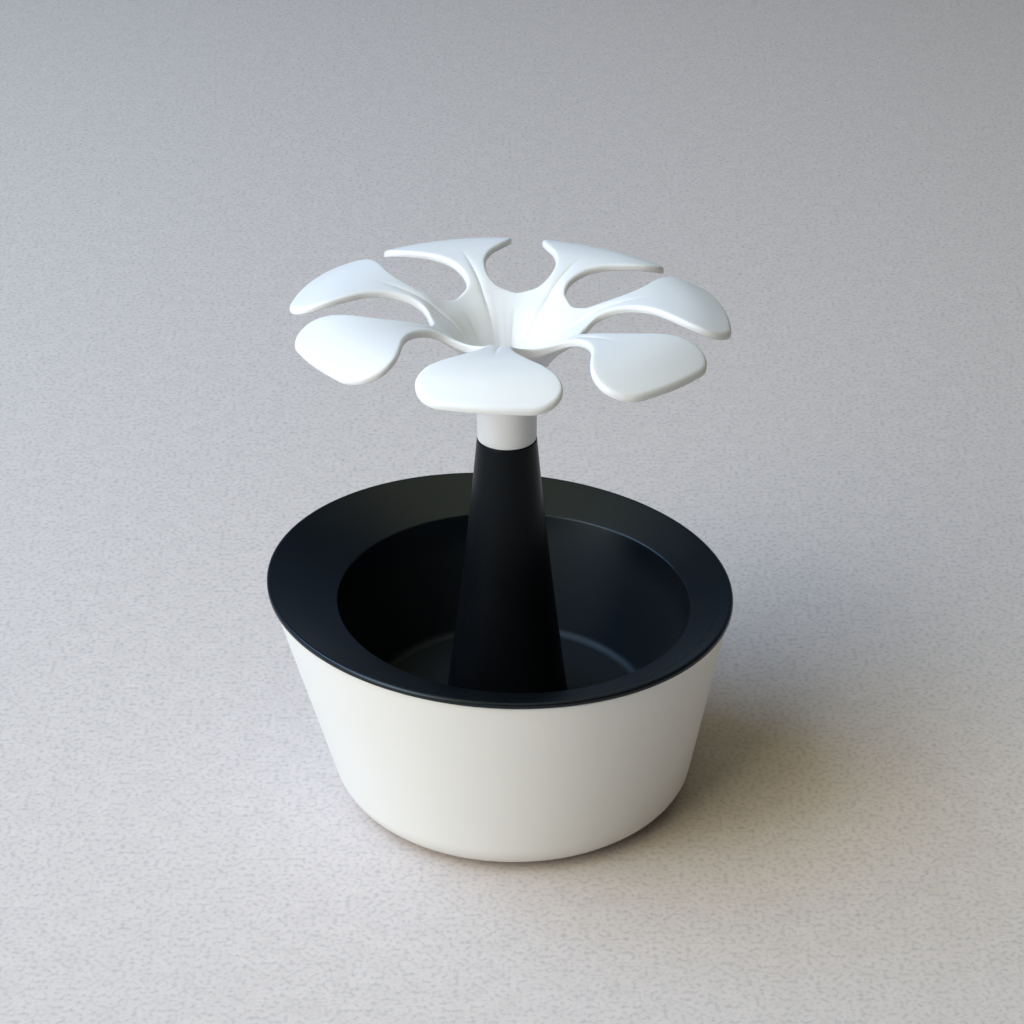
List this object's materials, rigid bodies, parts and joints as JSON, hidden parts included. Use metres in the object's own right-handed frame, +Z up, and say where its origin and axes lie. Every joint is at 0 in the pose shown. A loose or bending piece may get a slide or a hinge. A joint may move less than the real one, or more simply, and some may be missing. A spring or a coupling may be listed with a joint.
{
  "type": "pen holder",
  "caption": "Round leaning pot with a liner and a tapered stem that carries a flower; pens stand in the pot and lean in the gaps between its petals.",
  "frame": {"origin": "on the table under the middle of the rim, which stands off the middle of the base", "axes": "+Z up along the stem, -Y to the front, +X to the right"},
  "size_m": [0.1, 0.1, 0.1167],
  "materials": {
    "shell_white": "fine matte warm white",
    "flower_white": "satin cool white",
    "liner_black": "fine matte black",
    "stem_black": "satin black",
    "plug_black": "moulded black",
    "steel": "zinc plated",
    "iron": "as cast, oiled",
    "rubber": "matte"
  },
  "bodies": {
    "pot": {"pot_shell": "shell_white", "ballast_weight": "iron", "ballast_screw_1": "steel", "ballast_screw_2": "steel", "foot_pad_1": "rubber", "foot_pad_2": "rubber", "foot_pad_3": "rubber"},
    "liner_and_stem": {"pot_liner": "liner_black", "stem": "stem_black", "stem_plug": "plug_black", "stem_washer": "steel", "stem_screw": "steel"},
    "ring": {"spigot_ring": "rubber"},
    "flower": {"flower": "flower_white"}
  },
  "joints": [
    {"name": "liner_lift", "type": "slide", "parent": "pot", "child": "liner_and_stem", "axis": [0, 0, 1], "range_m": [0, 0.045]},
    {"name": "flower_lift", "type": "slide", "parent": "liner_and_stem", "child": "ring", "axis": [0, 0, 1], "range_m": [0, 0.018]},
    {"name": "flower_turn", "type": "hinge", "parent": "ring", "child": "flower", "pos_m": [0.00146, 0, 0.0843], "axis": [0, 0, 1], "continuous": true}
  ]
}
